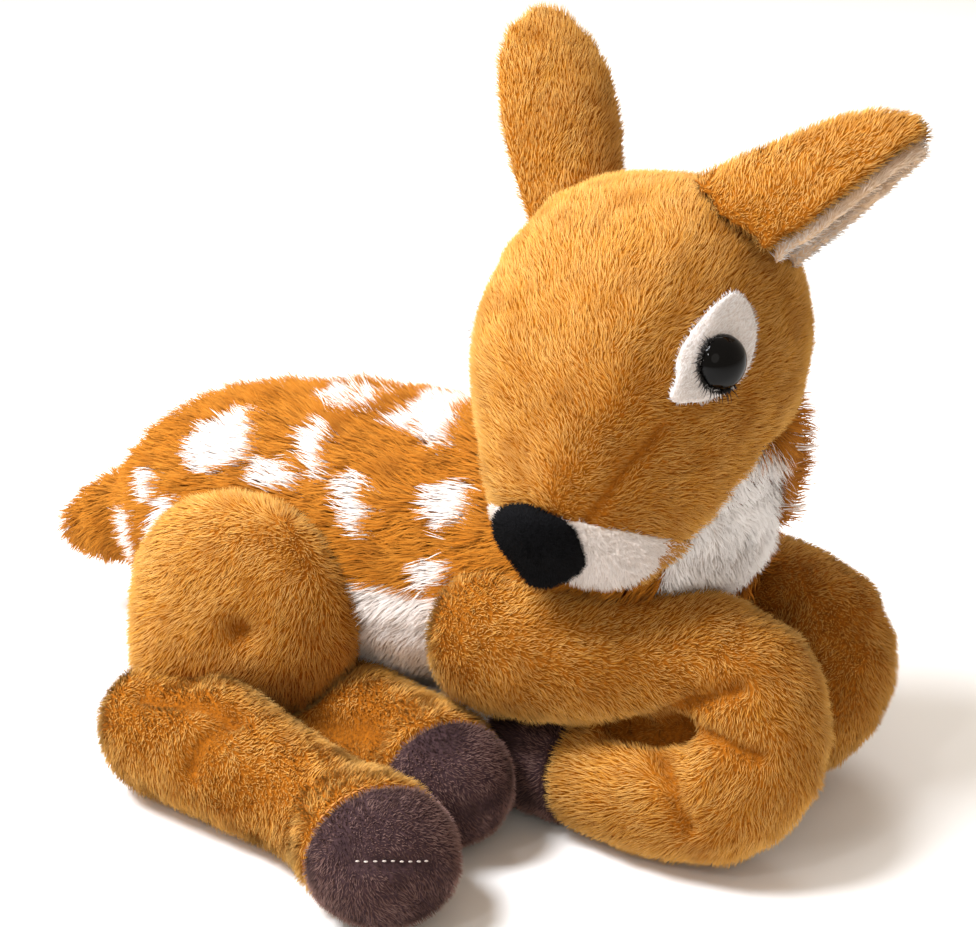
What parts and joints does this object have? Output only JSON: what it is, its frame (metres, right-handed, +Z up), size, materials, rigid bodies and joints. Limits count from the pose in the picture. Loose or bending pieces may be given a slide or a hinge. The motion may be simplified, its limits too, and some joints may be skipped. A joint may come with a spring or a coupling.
{
  "type": "lying plush deer",
  "caption": "Stuffed fawn toy lying with folded legs, long spotted pile on its body, short plush head, ears, legs and dark hooves; head turned to its right.",
  "frame": {"origin": "middle of the toy's footprint, on the floor that its legs rest on", "axes": "+X the way the chest points, +Y the deer's left, +Z up"},
  "size_m": [0.3469, 0.2457, 0.259],
  "materials": {
    "belly_panel": "short white plush",
    "bib": "short white plush",
    "ear_back_left": "short plush",
    "ear_back_right": "short plush",
    "ear_lining_left": "short pale plush",
    "ear_lining_right": "short pale plush",
    "eye_left": "polished",
    "eye_patch_left": "short white plush",
    "eye_patch_right": "short white plush",
    "eye_right": "polished",
    "eye_washer_left": "moulded, matte",
    "eye_washer_right": "moulded, matte",
    "front_hoof_left": "short dark plush",
    "front_hoof_right": "short dark plush",
    "front_leg_left": "short plush",
    "front_leg_right": "short plush",
    "head_filling": "loose polyester fibre",
    "head_skin": "short plush",
    "hind_hoof_left": "short dark plush",
    "hind_hoof_right": "short dark plush",
    "hind_leg_left": "short plush",
    "hind_leg_right": "short plush",
    "lash_left": "matte fibre",
    "lash_right": "matte fibre",
    "muzzle_band": "short white plush",
    "nose": "short black plush",
    "tail": "long-pile plush",
    "thigh_left": "short plush",
    "thigh_right": "short plush",
    "torso_filling": "loose polyester fibre",
    "torso_skin": "long-pile plush"
  },
  "bodies": {
    "torso": {"torso_skin": "torso_skin", "belly_panel": "belly_panel", "bib": "bib", "torso_filling": "torso_filling", "thigh_left": "thigh_left", "thigh_right": "thigh_right", "hind_leg_left": "hind_leg_left", "hind_hoof_left": "hind_hoof_left"},
    "head": {"head_skin": "head_skin", "muzzle_band": "muzzle_band", "head_filling": "head_filling", "nose": "nose", "eye_left": "eye_left", "eye_washer_left": "eye_washer_left", "eye_patch_left": "eye_patch_left", "lash_left": "lash_left", "eye_right": "eye_right", "eye_washer_right": "eye_washer_right", "eye_patch_right": "eye_patch_right", "lash_right": "lash_right"},
    "ear_left": {"ear_back_left": "ear_back_left", "ear_lining_left": "ear_lining_left"},
    "ear_right": {"ear_back_right": "ear_back_right", "ear_lining_right": "ear_lining_right"},
    "tail": {"tail": "tail"},
    "front_leg_left": {"front_leg_left": "front_leg_left", "front_hoof_left": "front_hoof_left"},
    "front_leg_right": {"front_leg_right": "front_leg_right", "front_hoof_right": "front_hoof_right"},
    "hind_leg_right": {"hind_leg_right": "hind_leg_right", "hind_hoof_right": "hind_hoof_right"}
  },
  "joints": [
    {"name": "neck_turn", "type": "hinge", "parent": "torso", "child": "head", "pos_m": [0.0945, 0.033, 0.126], "axis": [0, 0, 1], "range_deg": [-5, 5], "stiffness_Nm_per_rad": 1},
    {"name": "ear_left_turn", "type": "hinge", "parent": "head", "child": "ear_left", "pos_m": [0.13072, 0.02825, 0.19812], "axis": [0.7786, -0.0502, 0.6255], "range_deg": [-15, 15], "stiffness_Nm_per_rad": 0.1},
    {"name": "ear_right_turn", "type": "hinge", "parent": "head", "child": "ear_right", "pos_m": [0.04731, 0.04446, 0.19702], "axis": [-0.7504, 0.2483, 0.6125], "range_deg": [-15, 15], "stiffness_Nm_per_rad": 0.1},
    {"name": "tail_swing", "type": "hinge", "parent": "torso", "child": "tail", "pos_m": [-0.13038, 0.033, 0.05332], "axis": [0, 1, 0], "range_deg": [-8, 8], "stiffness_Nm_per_rad": 0.15},
    {"name": "shoulder_left", "type": "hinge", "parent": "torso", "child": "front_leg_left", "pos_m": [0.0465, 0.08, 0.0533], "axis": [0, 1, 0], "range_deg": [-12, 0], "stiffness_Nm_per_rad": 2},
    {"name": "shoulder_right", "type": "hinge", "parent": "torso", "child": "front_leg_right", "pos_m": [0.0505, 0, 0.06784], "axis": [0, 1, 0], "range_deg": [-1.5, 0], "stiffness_Nm_per_rad": 2},
    {"name": "hock_right", "type": "hinge", "parent": "torso", "child": "hind_leg_right", "pos_m": [-0.0525, -0.065, 0], "axis": [0, 0, 1], "range_deg": [-14, 0], "stiffness_Nm_per_rad": 1}
  ]
}
